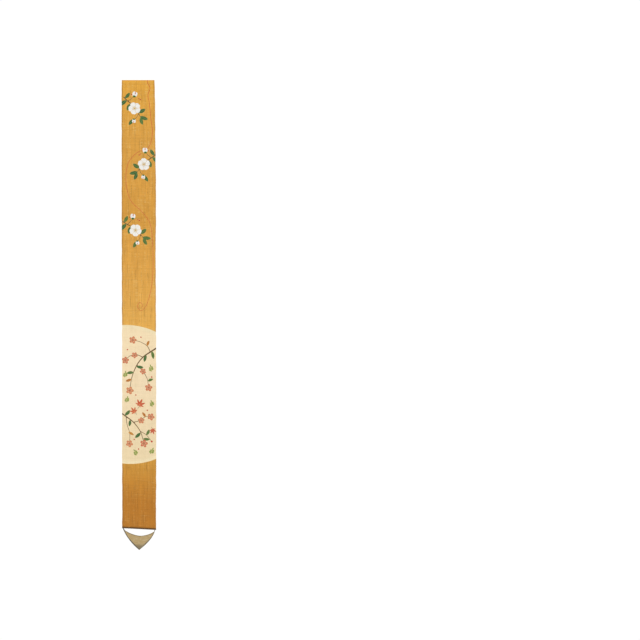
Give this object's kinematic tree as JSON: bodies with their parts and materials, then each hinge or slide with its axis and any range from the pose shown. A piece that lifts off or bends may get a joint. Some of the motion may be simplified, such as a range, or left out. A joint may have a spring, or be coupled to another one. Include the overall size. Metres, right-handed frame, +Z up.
{
  "type": "narrow hanging tapestry with bottom strip and weight",
  "caption": "Long narrow woven wall hanging with a turned top hem, a slim grooved strip gripping its lower edge, and a pointed crescent weight hung from it by two horns.",
  "frame": {"origin": "middle of the turned top edge of the cloth, where the hanging is held up", "axes": "+Z up, the cloth drops along -Z; the dyed face looks along -Y; +X to the viewer's right"},
  "size_m": [0.1029, 0.005, 1.3945],
  "materials": {
    "cloth": "matte",
    "strip": "satin",
    "weight": "satin"
  },
  "bodies": {
    "root": {"cloth": "cloth", "bottom_strip": "strip", "weight": "weight"}
  },
  "joints": []
}
